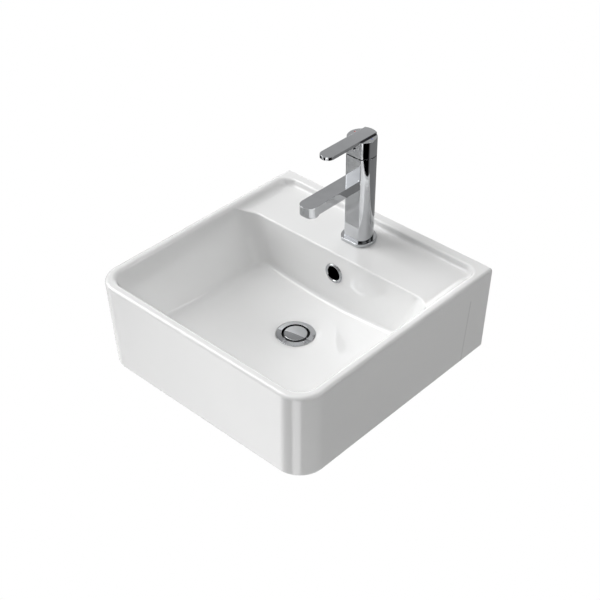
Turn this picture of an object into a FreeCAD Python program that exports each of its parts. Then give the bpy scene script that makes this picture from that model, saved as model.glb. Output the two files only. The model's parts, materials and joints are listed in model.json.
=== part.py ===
import FreeCAD, Part
import Sketcher
import math
import os

# Wall-hung basin with a single-lever mixer and a click waste.
# Frame: origin midway between the two wall-bolt holes on the wall plane,
# +Y into the wall, -Y to the front, +X to the right seen from the front, +Z up. Millimetres.

doc = FreeCAD.newDocument("wall_basin")
Vec = FreeCAD.Vector
Rot = FreeCAD.Rotation

# ---------------------------------------------------------------- driving dimensions
DIMS = [
    # ceramic outside
    ("basin_w", 420.0), ("basin_d", 420.0), ("rim_z", 75.0), ("foot_z", -75.0), ("draft", 5.5),
    ("corner_r", 42.0), ("edge_r", 6.0), ("lip_r", 4.0),
    # rim, deck and bowl
    ("rim_side", 14.0), ("rim_front", 14.3), ("rim_back", 16.5), ("deck_z", 64.0), ("deck_t", 12.0),
    ("side_slope", 0.44), ("front_slope", 0.30), ("back_slope", 0.01), ("step_slope", 0.20),
    ("recess_r", 18.0), ("front_r", 29.0), ("bowl_r", 28.0), ("floor_r", 7.0),
    ("bowl_back", 119.0), ("floor_apex", -44.4), ("floor_slope", 0.12), ("nose_r", 2.5),
    # wall thicknesses and holes of the ceramic
    ("skin", 11.0), ("back_skin", 12.0), ("bolt_x", 140.0), ("bolt_hole_r", 8.0),
    ("boss_r", 38.0), ("boss_z", -71.4), ("rib_half", 20.0), ("channel_half", 12.0),
    ("channel_lo", -66.0), ("channel_hi", -54.0), ("channel_top", 42.0), ("channel_y0", -110.0), ("channel_y1", -97.0),
    ("over_z", 27.0), ("over_r", 13.9), ("ring_r", 16.8), ("ring_bore_r", 12.2), ("ring_t", 1.8), ("ring_len", 9.0),
    # waste
    ("waste_y", -206.5), ("waste_hole_r", 23.7), ("seat_z", -43.9), ("seat_r", 31.0), ("flare_z", -42.0), ("flare", 2.0),
    ("flange_r", 30.4), ("flange_t", 2.2), ("seal_t", 1.0), ("mouth_r", 22.0), ("mouth_wall", 5.25), ("mouth_low_r", 18.8), ("mouth_d", 6.85),
    ("bore_r", 18.5), ("neck_r", 23.2), ("neck_len", 11.6), ("tail_r", 20.95), ("tail_z", -135.0), ("groove_z", -96.0),
    ("slot_half", 7.0), ("bridge_z", -80.0), ("bridge_t", 8.0), ("hub_r", 10.0),
    ("low_seal_t", 6.0), ("washer_t", 2.0), ("nut_t", 10.0), ("nut_r", 31.0),
    # plug
    ("cap_r", 18.1), ("cap_t", 2.4), ("cap_dome", 0.5), ("cap_top", -40.0), ("cap_hub_r", 5.5), ("fin_r", 21.6), ("fin_w", 2.4),
    ("guide_t", 1.2), ("ring_seal_r", 18.4), ("ring_seal_w", 1.7), ("latch_r", 7.0), ("latch_in_r", 4.8),
    ("latch_top", -53.5), ("latch_foot", -88.0), ("stem_r", 2.45), ("stem_head_r", 4.5),
    # mixer
    ("tap_y", -62.0), ("tap_hole_r", 17.5), ("foot_r", 27.9), ("foot_flat", 23.4), ("foot_t", 5.8), ("foot_seal_t", 0.3),
    ("col_r", 22.85), ("col_flat", 18.0), ("col_top", 216.6), ("shank_r", 16.8), ("shank_z", 56.0),
    ("spout_half", 14.0), ("spout_tip", -177.1), ("spout_top", 181.4), ("spout_low", 166.0),
    ("outlet_y", -173.5), ("outlet_r", 11.8), ("outlet_z", 160.8), ("aer_r", 9.6), ("channel_r", 3.9), ("channel_z", 173.8),
    ("inlet_x", 8.0), ("inlet_dy", 2.5), ("inlet_r", 2.8), ("port_r", 4.5), ("port_len", 12.0),
    ("stud_dy", 10.0), ("stud_r", 4.0),
    # cartridge
    ("cham_r", 12.7), ("cham_z", 190.0), ("thread_r", 14.2), ("thread_z", 208.5),
    ("cart_r", 12.5), ("cart_in_r", 11.2), ("shoulder_z", 211.0), ("neck_top", 219.5), ("rotor_r", 7.5), ("rotor_top", 228.0),
    ("pivot_z", 226.0), ("disc_r", 7.5), ("disc_off", 2.5), ("stem_x", 6.0), ("stem_yw", 5.0),
    # head and lever
    ("head_z", 217.8), ("head_top", 245.7), ("head_bore_r", 15.0), ("head_roof", 238.4), ("slot_floor", 242.9),
    ("lever_half", 11.7), ("lever_z", 243.1), ("lever_top", 248.4), ("lever_tip", -138.0), ("slot_gap", 0.3),
    ("grub_z", 233.2), ("grub_r", 2.4), ("access_r", 3.2), ("mark_r", 1.2), ("mark_x", 16.6), ("mark_y", -59.2),
]
sheet = doc.addObject("Spreadsheet::Sheet", "dims")
for row, (alias, value) in enumerate(DIMS, start=1):
    sheet.set("A%d" % row, alias)
    sheet.set("B%d" % row, repr(value))
    sheet.setAlias("B%d" % row, alias)
doc.recompute()


class Q:
    """A size: its number now, and the sheet expression that drives it."""

    def __init__(self, v, e):
        self.v, self.e = float(v), e

    def _two(self, o, sign, v):
        return Q(v, "(%s %s %s)" % (self.e, sign, o.e))

    def __add__(self, o):
        o = q(o)
        return self._two(o, "+", self.v + o.v)

    def __radd__(self, o):
        return q(o) + self

    def __sub__(self, o):
        o = q(o)
        return self._two(o, "-", self.v - o.v)

    def __rsub__(self, o):
        return q(o) - self

    def __mul__(self, o):
        o = q(o)
        return self._two(o, "*", self.v * o.v)

    def __rmul__(self, o):
        return q(o) * self

    def __truediv__(self, o):
        o = q(o)
        return self._two(o, "/", self.v / o.v)

    def __neg__(self):
        return Q(-self.v, "(0 - %s)" % self.e)


def q(o):
    return o if isinstance(o, Q) else Q(o, "%.6f" % o if o >= 0 else "(0 - %.6f)" % -o)


class Sizes:
    pass


d = Sizes()
for alias, _ in DIMS:
    setattr(d, alias, Q(sheet.get(alias), "dims." + alias))

count = [0]
nodes = {}


def fresh(kind):
    count[0] += 1
    return "%s_%03d" % (kind, count[0])


def put(obj, prop, size):
    size = q(size)
    if "dims." in size.e:
        obj.setExpression(prop, size.e)
    else:
        setattr(obj, prop, size.v)


def place(obj, x=0, y=0, z=0, rot=None):
    obj.Placement = FreeCAD.Placement(Vec(q(x).v, q(y).v, q(z).v), rot or Rot())
    for name, size in (("x", q(x)), ("y", q(y)), ("z", q(z))):
        if "dims." in size.e:
            obj.setExpression("Placement.Base." + name, size.e)
    return obj


AXES = {"z": Rot(), "y": Rot(Vec(1, 0, 0), -90), "x": Rot(Vec(0, 1, 0), 90)}


def cyl(r, length, x=0, y=0, z=0, axis="z"):
    o = doc.addObject("Part::Cylinder", fresh("cyl"))
    put(o, "Radius", r)
    put(o, "Height", length)
    return place(o, x, y, z, AXES[axis])


def cone(r1, r2, length, x=0, y=0, z=0):
    o = doc.addObject("Part::Cone", fresh("cone"))
    put(o, "Radius1", r1)
    put(o, "Radius2", r2)
    put(o, "Height", length)
    return place(o, x, y, z)


def torus(r1, r2, x=0, y=0, z=0):
    o = doc.addObject("Part::Torus", fresh("torus"))
    put(o, "Radius1", r1)
    put(o, "Radius2", r2)
    return place(o, x, y, z)


def box(x0, x1, y0, y1, z0, z1):
    x0, x1, y0, y1, z0, z1 = [q(v) for v in (x0, x1, y0, y1, z0, z1)]
    o = doc.addObject("Part::Box", fresh("box"))
    put(o, "Length", x1 - x0)
    put(o, "Width", y1 - y0)
    put(o, "Height", z1 - z0)
    return place(o, x0, y0, z0)


def hexa(r, length, x=0, y=0, z=0):
    o = doc.addObject("Part::Prism", fresh("hexa"))
    o.Polygon = 6
    put(o, "Circumradius", r)
    put(o, "Height", length)
    return place(o, x, y, z)


def frustum(z0, z1, half, back, front):
    """Tapered block: half-width, back and front distance from the wall are functions of z."""
    z0, z1 = q(z0), q(z1)
    o = doc.addObject("Part::Wedge", fresh("frustum"))
    put(o, "Ymin", z0)
    put(o, "Ymax", z1)
    put(o, "Xmin", -half(z0))
    put(o, "Xmax", half(z0))
    put(o, "Zmin", back(z0))
    put(o, "Zmax", front(z0))
    put(o, "X2min", -half(z1))
    put(o, "X2max", half(z1))
    put(o, "Z2min", back(z1))
    put(o, "Z2max", front(z1))
    o.Placement = FreeCAD.Placement(Vec(0, 0, 0), Rot(Vec(1, 0, 0), 90))
    return o


def cut(base, *tools):
    o = doc.addObject("Part::Cut", fresh("cut"))
    o.Base = base
    o.Tool = tools[0] if len(tools) == 1 else fuse(*tools)
    return o


def fuse(*shapes):
    if len(shapes) == 1:
        return shapes[0]
    o = doc.addObject("Part::MultiFuse", fresh("fuse"))
    o.Shapes = list(shapes)
    o.Refine = True
    return o


def common(a, b):
    o = doc.addObject("Part::Common", fresh("common"))
    o.Base = a
    o.Tool = b
    return o


def soften(base, picks, kind="Part::Fillet"):
    """Fillet or chamfer of the edges for which a pick returns a radius."""
    doc.recompute()
    edges = []
    for i, e in enumerate(base.Shape.Edges, start=1):
        r = picks(e)
        if r:
            edges.append((i, q(r).v, q(r).v))
    o = doc.addObject(kind, fresh("soft"))
    o.Base = base
    o.Edges = edges
    doc.recompute()
    return o


def keep(name, obj):
    obj.Label = name
    nodes[name] = obj
    return obj


def spans(e):
    b = e.BoundBox
    return b.XMin, b.XMax, b.YMin, b.YMax, b.ZMin, b.ZMax


# ---------------------------------------------------------------- sketch-based bodies
def plane_of(body, role):
    for f in body.Origin.OriginFeatures:
        if f.Role == role:
            return f


def draw(body, name, role, points, z_off=None):
    """Closed outline of straight lines through points, each point tied to the sheet."""
    sk = body.newObject("Sketcher::SketchObject", name)
    sk.AttachmentSupport = [(plane_of(body, role), "")]
    sk.MapMode = "FlatFace"
    if z_off is not None:
        sk.AttachmentOffset = FreeCAD.Placement(Vec(0, 0, q(z_off).v), Rot())
        sk.setExpression("AttachmentOffset.Base.z", q(z_off).e)
    pts = [(q(a), q(b)) for a, b in points]
    n = len(pts)
    for i in range(n):
        a, b = pts[i], pts[(i + 1) % n]
        sk.addGeometry(Part.LineSegment(Vec(a[0].v, a[1].v, 0), Vec(b[0].v, b[1].v, 0)), False)
    for i in range(n):
        sk.addConstraint(Sketcher.Constraint("Coincident", i, 2, (i + 1) % n, 1))
    for i, (a, b) in enumerate(pts):
        for kind, size, axis in (("DistanceX", a, -2), ("DistanceY", b, -1)):
            if abs(size.v) < 1e-9:
                sk.addConstraint(Sketcher.Constraint("PointOnObject", i, 1, axis))
                continue
            k = sk.addConstraint(Sketcher.Constraint(kind, -1, 1, i, 1, size.v))
            if "dims." in size.e:
                sk.setExpression("Constraints[%d]" % k, size.e)
    return sk


def turned(name, points, x=0, y=0, rounds=()):
    """Body of revolution about a vertical axis; points are (radius, height)."""
    body = doc.addObject("PartDesign::Body", name)
    sk = draw(body, name + "_profile", "XZ_Plane", points)
    rev = body.newObject("PartDesign::Revolution", name + "_turn")
    rev.Profile = sk
    rev.ReferenceAxis = (sk, ["V_Axis"])
    rev.Angle = 360.0
    body.Tip = rev
    place(body, x, y, 0)
    doc.recompute()
    if rounds:
        names = []
        base = rev.Shape
        for i, e in enumerate(base.Edges, start=1):
            if not hasattr(e.Curve, "Radius"):
                continue
            for r, z in rounds[1]:
                if abs(e.Curve.Radius - q(r).v) < 1e-4 and abs(e.Curve.Center.z - q(z).v) < 1e-4:
                    names.append("Edge%d" % i)
        f = body.newObject("PartDesign::Fillet", name + "_round")
        f.Base = (rev, names)
        put(f, "Radius", rounds[0])
        body.Tip = f
        doc.recompute()
    return body


def drill(name, body, role, circles, depth, through=False, reverse=False):
    """Pocket of round holes; circles are (a, b, radius) in the sketch plane."""
    sk = body.newObject("Sketcher::SketchObject", name + "_holes")
    sk.AttachmentSupport = [(plane_of(body, role), "")]
    sk.MapMode = "FlatFace"
    for i, (a, b, r) in enumerate(circles):
        a, b, r = q(a), q(b), q(r)
        sk.addGeometry(Part.Circle(Vec(a.v, b.v, 0), Vec(0, 0, 1), r.v), False)
        for kind, size, axis in (("DistanceX", a, -2), ("DistanceY", b, -1)):
            if abs(size.v) < 1e-9:
                sk.addConstraint(Sketcher.Constraint("PointOnObject", i, 3, axis))
            else:
                k = sk.addConstraint(Sketcher.Constraint(kind, -1, 1, i, 3, size.v))
                if "dims." in size.e:
                    sk.setExpression("Constraints[%d]" % k, size.e)
        k = sk.addConstraint(Sketcher.Constraint("Radius", i, r.v))
        if "dims." in r.e:
            sk.setExpression("Constraints[%d]" % k, r.e)
    before = body.Tip.Shape.Volume
    pk = body.newObject("PartDesign::Pocket", name + "_pocket")
    pk.Profile = sk
    if through:
        pk.Type = 1
        pk.Midplane = True
    else:
        put(pk, "Length", depth)
    pk.Reversed = reverse
    body.Tip = pk
    doc.recompute()
    if not pk.Shape.Volume < before - 1e-6:
        raise RuntimeError(name + ": holes cut nothing")
    return body


# ---------------------------------------------------------------- ceramic basin
W2 = d.basin_w / 2
HI = d.rim_z - d.foot_z


def lean(z):
    return d.draft * (d.rim_z - z) / HI


def bowl_half(z):
    return W2 - d.rim_side - d.side_slope * (d.rim_z - z)


def bowl_front(z):
    return d.basin_d - d.rim_front - d.front_slope * (d.rim_z - z)


def bowl_rear(z):
    return d.bowl_back + d.back_slope * (d.deck_z - z)


def recess_rear(z):
    return d.rim_back + d.step_slope * (d.rim_z - z)


outer = frustum(d.foot_z, d.rim_z, lambda z: W2 - lean(z), lambda z: q(0), lambda z: d.basin_d - lean(z))


def outer_pick(e):
    x0, x1, y0, y1, z0, z1 = spans(e)
    if z1 - z0 > 100:
        return d.corner_r if y1 < -300 else 2.0
    return None


outer = soften(outer, outer_pick)

recess = frustum(d.deck_z, 95.0, bowl_half, recess_rear, bowl_front)


def recess_pick(e):
    x0, x1, y0, y1, z0, z1 = spans(e)
    if z1 - z0 > 20:
        return d.front_r if y1 < -300 else d.recess_r
    return None


recess = soften(recess, recess_pick)

bowl = frustum(-80.0, 95.0, bowl_half, bowl_rear, bowl_front)


def bowl_pick(e):
    x0, x1, y0, y1, z0, z1 = spans(e)
    if z1 - z0 > 100:
        return d.front_r if y1 < -300 else d.bowl_r
    return None


bowl = soften(bowl, bowl_pick)
FAR = 430.0
dish = fuse(cone(0.0, FAR, d.floor_slope * FAR, 0, d.waste_y, d.floor_apex),
            cyl(FAR, 120.0, 0, d.waste_y, d.floor_apex + d.floor_slope * FAR))
bowl = common(bowl, dish)
doc.recompute()


def floor_edges(e):
    x0, x1, y0, y1, z0, z1 = spans(e)
    return d.floor_r if z1 < 20.0 and (x1 - x0 > 5 or y1 - y0 > 5) and z1 - z0 < 30 else None


bowl = soften(bowl, floor_edges)

# hollow underneath: a lining of even thickness is left round the bowl
hollow = frustum(-80.0, d.deck_z - d.deck_t, lambda z: W2 - lean(z) - d.skin, lambda z: d.back_skin,
                 lambda z: d.basin_d - lean(z) - d.skin)


def hollow_pick(e):
    x0, x1, y0, y1, z0, z1 = spans(e)
    if z1 - z0 > 100:
        return d.corner_r - d.skin if y1 < -300 else 6.0
    return None


hollow = soften(hollow, hollow_pick)
lining = frustum(-80.0, 95.0, lambda z: bowl_half(z) + d.skin * 1.09, lambda z: bowl_rear(z) - d.skin,
                 lambda z: bowl_front(z) + d.skin * 1.045)


def lining_pick(e):
    x0, x1, y0, y1, z0, z1 = spans(e)
    if z1 - z0 > 100:
        return (d.front_r if y1 < -300 else d.bowl_r) + d.skin
    return None


lining = soften(lining, lining_pick)
under = fuse(cone(0.0, FAR, d.floor_slope * FAR, 0, d.waste_y, d.floor_apex - d.skin),
             cyl(FAR, 120.0, 0, d.waste_y, d.floor_apex - d.skin + d.floor_slope * FAR))
lining = common(lining, under)
hollow = cut(hollow, lining)

rib = box(-d.rib_half, d.rib_half, d.waste_y, d.channel_y1 + 8.0, d.boss_z, d.deck_z - d.deck_t + 2.0)
boss = cyl(d.boss_r, d.seat_z - d.boss_z + 10.0, 0, d.waste_y, d.boss_z)

shell = cut(outer, hollow)
shell = fuse(shell, rib, boss)
shell = cut(shell, recess)
shell = cut(shell, bowl)
holes = [
    cyl(d.tap_hole_r, 60.0, 0, d.tap_y, d.deck_z - 30.0),
    cyl(d.waste_hole_r, 60.0, 0, d.waste_y, -100.0),
    cyl(d.seat_r, 12.0, 0, d.waste_y, d.seat_z),
    cone(d.seat_r, d.seat_r + d.flare * 4.0, 4.0, 0, d.waste_y, d.flare_z),
    cyl(d.bolt_hole_r, 40.0, d.bolt_x, -30.0, 0, "y"),
    cyl(d.bolt_hole_r, 40.0, -d.bolt_x, -30.0, 0, "y"),
    box(-d.channel_half, d.channel_half, d.channel_y0, d.channel_y1, d.channel_lo, d.channel_top),
    box(-d.channel_half, d.channel_half, d.waste_y, d.channel_y1, d.channel_lo, d.channel_hi),
    cyl(d.over_r, 30.0, 0, -132.0, d.over_z, "y"),
]
for tool in holes:
    shell = cut(shell, tool)
doc.recompute()


def top_edges(e):
    x0, x1, y0, y1, z0, z1 = spans(e)
    if abs(z0 - d.rim_z.v) > 0.01 or abs(z1 - d.rim_z.v) > 0.01:
        return None
    if y0 > -1.0 or (y1 > -0.01 and y1 - y0 < 3.0):
        return None
    if max(abs(x0), abs(x1)) > W2.v - 0.5 or y0 < -d.basin_d.v + 0.5:
        return d.edge_r
    return d.lip_r


shell = soften(shell, top_edges)


def deck_nose(e):
    x0, x1, y0, y1, z0, z1 = spans(e)
    flat = abs(z0 - d.deck_z.v) < 0.01 and abs(z1 - d.deck_z.v) < 0.01
    return d.nose_r if flat and abs(y0 + d.bowl_back.v) < 0.01 and abs(y1 + d.bowl_back.v) < 0.01 and x1 - x0 > 100 else None


shell = soften(shell, deck_nose)
keep("ceramic_basin", shell)

# trim ring of the overflow, square to the bowl's back wall
ring = turned("overflow_ring", [
    (d.ring_bore_r, -d.ring_len), (d.over_r - 0.8, -d.ring_len), (d.over_r - 0.8, 0.0),
    (d.ring_r, 0.0), (d.ring_r, d.ring_t), (d.ring_bore_r, d.ring_t)],
    rounds=(0.9, [(d.ring_r, d.ring_t), (d.ring_bore_r, d.ring_t)]))
lean_deg = math.degrees(math.atan(d.back_slope.v))
ring.Placement = FreeCAD.Placement(Vec(0, 0, 0), Rot(Vec(1, 0, 0), 90 - lean_deg))
ring.setExpression("Placement.Base.y", (-bowl_rear(d.over_z) - 0.05).e)
ring.setExpression("Placement.Base.z", d.over_z.e)
keep("overflow_ring", ring)

# ---------------------------------------------------------------- waste
FZ = d.seat_z + d.seal_t            # underside of the flange
FT = FZ + d.flange_t                # top of the flange
keep("waste_flange_seal", turned("waste_flange_seal", [
    (d.neck_r + 0.6, d.seat_z), (d.flange_r - 2.0, d.seat_z), (d.flange_r - 2.0, FZ), (d.neck_r + 0.6, FZ)], 0, d.waste_y))

tail = turned("waste_tube", [
    (d.bore_r, d.tail_z), (d.tail_r - 0.8, d.tail_z), (d.tail_r, d.tail_z + 1.2),
    (d.tail_r, d.groove_z), (d.tail_r - 0.8, d.groove_z + 0.6), (d.tail_r - 0.8, d.groove_z + 2.0), (d.tail_r, d.groove_z + 2.6),
    (d.tail_r, FZ - d.neck_len),
    (d.neck_r, FZ - d.neck_len + 1.5), (d.neck_r, FZ), (d.flange_r, FZ), (d.flange_r, FT - 1.2),
    (d.mouth_r, FT), (d.mouth_r, FT - d.mouth_wall), (d.mouth_low_r, FT - d.mouth_d), (d.bore_r, FT - d.mouth_d - 1.0)], 0, d.waste_y,
    rounds=(0.4, [(d.flange_r, FT - 1.2), (d.mouth_r, FT)]))
slot_h = d.channel_hi - d.channel_lo - 2.0
bridge = common(
    fuse(box(-d.bore_r - 1.0, d.bore_r + 1.0, d.waste_y - 4.0, d.waste_y + 4.0, d.bridge_z, d.bridge_z + d.bridge_t),
         cyl(d.hub_r, d.bridge_t, 0, d.waste_y, d.bridge_z)),
    cyl(d.bore_r + 0.6, 60.0, 0, d.waste_y, d.bridge_z - 20.0))
slots = [box(-d.slot_half, d.slot_half, d.waste_y - 30.0, d.waste_y + 30.0, d.channel_lo + 1.0, d.channel_hi - 1.0),
         box(-30.0, 30.0, d.waste_y - d.slot_half, d.waste_y + d.slot_half, d.channel_lo + 1.0, d.channel_hi - 1.0)]
keep("waste_body", cut(fuse(cut(tail, *slots), bridge),
                       cyl(d.latch_r + 0.03, 60.0, 0, d.waste_y, d.bridge_z - 20.0)))

LZ = d.boss_z
keep("waste_lower_seal", turned("waste_lower_seal", [
    (d.tail_r + 0.1, LZ - d.low_seal_t), (d.nut_r + 1.0, LZ - d.low_seal_t), (d.nut_r + 1.0, LZ - 1.5),
    (d.nut_r - 1.5, LZ), (d.tail_r + 0.1, LZ)], 0, d.waste_y))
keep("waste_washer", turned("waste_washer", [
    (d.tail_r + 0.2, LZ - d.low_seal_t - d.washer_t), (d.nut_r + 1.0, LZ - d.low_seal_t - d.washer_t),
    (d.nut_r + 1.0, LZ - d.low_seal_t), (d.tail_r + 0.2, LZ - d.low_seal_t)], 0, d.waste_y))
NZ = LZ - d.low_seal_t - d.washer_t - d.nut_t
backnut = common(hexa(d.nut_r, d.nut_t, 0, d.waste_y, NZ),
                 turned("backnut_turning", [(0.0, NZ), (d.nut_r - 2.6, NZ), (d.nut_r + 0.1, NZ + 1.6),
                                            (d.nut_r + 0.1, NZ + d.nut_t), (0.0, NZ + d.nut_t)], 0, d.waste_y))
keep("waste_backnut", cut(backnut, cyl(d.tail_r + 0.05, 40.0, 0, d.waste_y, NZ - 10.0)))

# press-press latch
keep("plug_latch_housing", turned("plug_latch_housing", [
    (0.0, d.latch_foot), (d.latch_r, d.latch_foot), (d.latch_r, d.latch_top), (d.stem_r + 0.15, d.latch_top),
    (d.stem_r + 0.15, d.latch_top - 1.5), (d.latch_in_r, d.latch_top - 1.5), (d.latch_in_r, d.latch_foot + 2.0),
    (0.0, d.latch_foot + 2.0)], 0, d.waste_y))
CAPB = d.cap_top - d.cap_dome - d.cap_t           # underside of the cap
HEADZ = -74.0
keep("plug_stem", turned("plug_stem", [
    (0.0, HEADZ), (d.stem_head_r, HEADZ), (d.stem_head_r, HEADZ + 4.0), (d.stem_r, HEADZ + 4.0),
    (d.stem_r, CAPB - 2.3), (0.0, CAPB - 2.3)], 0, d.waste_y))
coils, coil_r, wire_r = 6.0, 3.7, 0.45
low, high = d.latch_foot.v + 2.0 + wire_r + 0.05, HEADZ - wire_r - 0.05
helix = Part.makeHelix((high - low) / coils, high - low, coil_r)
circle = Part.Wire([Part.makeCircle(wire_r, Vec(coil_r, 0, 0), Vec(0, 1, 0.12))])
wire_spring = Part.Wire(helix).makePipeShell([circle], True, True)
spring = doc.addObject("Part::Feature", "plug_spring")
spring.Shape = wire_spring
place(spring, 0, d.waste_y, low)
keep("plug_spring", spring)

# plug
keep("plug_cap", turned("plug_cap", [
    (0.0, CAPB - 2.0), (d.stem_r + 0.05, CAPB - 2.0), (d.stem_r + 0.05, CAPB - 7.8), (d.cap_hub_r, CAPB - 7.8),
    (d.cap_hub_r, CAPB), (d.cap_r, CAPB), (d.cap_r, CAPB + d.cap_t), (d.cap_r * 0.62, d.cap_top - 0.12), (0.0, d.cap_top)],
    0, d.waste_y, rounds=(0.9, [(d.cap_r, CAPB + d.cap_t)])))
GZ = CAPB - d.guide_t


def disc_with_fins(name, radius, fin_r, fin_w, thick, turn):
    """Round plate with three fins set evenly round it."""
    body = doc.addObject("PartDesign::Body", name)
    sk = body.newObject("Sketcher::SketchObject", name + "_disc")
    sk.AttachmentSupport = [(plane_of(body, "XY_Plane"), "")]
    sk.MapMode = "FlatFace"
    for i, r in enumerate((q(radius), d.cap_hub_r + 0.1)):
        sk.addGeometry(Part.Circle(Vec(0, 0, 0), Vec(0, 0, 1), r.v), False)
        sk.addConstraint(Sketcher.Constraint("Coincident", i, 3, -1, 1))
        k = sk.addConstraint(Sketcher.Constraint("Radius", i, r.v))
        if "dims." in r.e:
            sk.setExpression("Constraints[%d]" % k, r.e)
    pad = body.newObject("PartDesign::Pad", name + "_plate")
    pad.Profile = sk
    put(pad, "Length", thick)
    fin = draw(body, name + "_fin", "XY_Plane", [(8.0, -fin_w / 2), (fin_r, -fin_w / 2), (fin_r, fin_w / 2), (8.0, fin_w / 2)])
    arm = body.newObject("PartDesign::Pad", name + "_arm")
    arm.Profile = fin
    put(arm, "Length", thick)
    doc.recompute()
    ring_of = body.newObject("PartDesign::PolarPattern", name + "_ring")
    ring_of.Originals = [arm]
    ring_of.Axis = (plane_of(body, "Z_Axis"), [""])
    ring_of.Angle = 360.0
    ring_of.Occurrences = 3
    body.Tip = ring_of
    body.Placement = FreeCAD.Placement(Vec(0, 0, 0), Rot(Vec(0, 0, 1), turn))
    doc.recompute()
    return body


guide = disc_with_fins("plug_guide", 16.8, d.fin_r, d.fin_w, d.guide_t, 132.8)
guide.setExpression("Placement.Base.y", d.waste_y.e)
guide.setExpression("Placement.Base.z", GZ.e)
keep("plug_guide", guide)
SZ = GZ - d.ring_seal_w                            # middle of the ring seal
keep("plug_seal", torus(d.ring_seal_r, d.ring_seal_w, 0, d.waste_y, SZ))
keep("plug_retainer", turned("plug_retainer", [
    (d.cap_hub_r + 0.1, SZ - d.ring_seal_w - 2.1), (d.ring_seal_r - 0.9, SZ - d.ring_seal_w - 2.1), (d.ring_seal_r - 0.9, SZ - d.ring_seal_w - 0.1),
    (d.ring_seal_r - d.ring_seal_w - 0.1, SZ - d.ring_seal_w - 0.1), (d.ring_seal_r - d.ring_seal_w - 0.1, GZ), (d.cap_hub_r + 0.1, GZ)],
    0, d.waste_y))

# ---------------------------------------------------------------- mixer
TY = d.tap_y


def dee(r, flat, z0, z1):
    """Round block with a flat on its front."""
    z0, z1, r, flat = q(z0), q(z1), q(r), q(flat)
    return cut(cyl(r, z1 - z0, 0, TY, z0), box(-60.0, 60.0, TY - 60.0, TY - flat, z0 - 1.0, z1 + 1.0))


def at_height(z, r):
    zz = q(z).v
    return lambda e: r if abs(e.BoundBox.ZMin - zz) < 0.01 and abs(e.BoundBox.ZMax - zz) < 0.01 else None


FB = d.deck_z + d.foot_seal_t
FOOT_TOP = FB + d.foot_t
keep("base_gasket", turned("base_gasket", [
    (d.tap_hole_r + 1.0, d.deck_z), (d.foot_flat - 0.9, d.deck_z), (d.foot_flat - 0.9, FB), (d.tap_hole_r + 1.0, FB)], 0, TY))
plate = soften(dee(d.foot_r, d.foot_flat, FB, FOOT_TOP), at_height(FOOT_TOP, 0.8))
keep("base_plate", cut(plate, cyl(d.shank_r + 0.1, 30.0, 0, TY, FB - 10.0)))

column = dee(d.col_r, d.col_flat, FOOT_TOP, d.col_top)
blade = fuse(box(-d.spout_half, d.spout_half, d.spout_tip, TY, d.spout_low, d.spout_top),
             cyl(d.spout_half, d.spout_top - d.spout_low, 0, d.spout_tip, d.spout_low))


def blade_rim(e):
    x0, x1, y0, y1, z0, z1 = spans(e)
    flat = abs(z0 - z1) < 0.01
    return 0.4 if flat and (x1 - x0 < 1 or y1 < d.spout_tip.v + 0.1) else None


blade = soften(blade, blade_rim)
shank = cyl(d.shank_r, FOOT_TOP - d.shank_z + 1.0, 0, TY, d.shank_z)
outlet = cyl(d.outlet_r, d.spout_low - d.outlet_z + 4.0, 0, d.outlet_y, d.outlet_z)
body = fuse(column, blade, shank, outlet)
IY = TY - d.inlet_dy
body = cut(body,
           cyl(d.cham_r, d.col_top - d.cham_z + 1.0, 0, TY, d.cham_z),
           cyl(d.thread_r + 0.05, d.col_top - d.thread_z + 1.0, 0, TY, d.thread_z),
           cyl(d.inlet_r, d.cham_z - d.shank_z + 2.0, d.inlet_x, IY, d.shank_z - 1.0),
           cyl(d.inlet_r, d.cham_z - d.shank_z + 2.0, -d.inlet_x, IY, d.shank_z - 1.0),
           cyl(d.port_r, d.port_len + 1.0, d.inlet_x, IY, d.shank_z - 1.0),
           cyl(d.port_r, d.port_len + 1.0, -d.inlet_x, IY, d.shank_z - 1.0),
           cyl(d.stud_r + 0.03, 16.0, 0, TY + d.stud_dy, d.shank_z - 1.0),
           cyl(d.channel_r, TY + 6.0 - d.outlet_y, 0, d.outlet_y, d.channel_z, "y"),
           cyl(3.4, d.cham_z - d.channel_z + 1.0, 0, TY + 5.6, d.channel_z),
           cyl(d.aer_r, d.channel_z - 1.8 - d.outlet_z + 1.0, 0, d.outlet_y, d.outlet_z - 1.0))
keep("mixer_body", body)

AT = d.channel_z - 1.8
keep("aerator_seal", turned("aerator_seal", [
    (6.6, AT - 1.0), (d.aer_r - 0.05, AT - 1.0), (d.aer_r - 0.05, AT), (6.6, AT)], 0, d.outlet_y))
keep("aerator_housing", turned("aerator_housing", [
    (d.aer_r - 1.5, d.outlet_z + 0.2), (d.aer_r - 0.05, d.outlet_z + 0.2), (d.aer_r - 0.05, AT - 1.0),
    (d.aer_r - 1.5, AT - 1.0)], 0, d.outlet_y))
insert = turned("aerator_insert", [
    (0.0, d.outlet_z + 0.9), (d.aer_r - 1.55, d.outlet_z + 0.9), (d.aer_r - 1.55, AT - 2.2), (0.0, AT - 2.2)], 0, d.outlet_y)
drill("aerator_insert", insert, "XY_Plane",
      [(0.0, 0.0, 0.75)] + [(r * math.cos(math.radians(a)), r * math.sin(math.radians(a)), 0.75)
                            for r, n in ((2.9, 6), (5.7, 12)) for a in [360.0 / n * i for i in range(n)]], 0, through=True)
keep("aerator_insert", insert)

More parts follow.
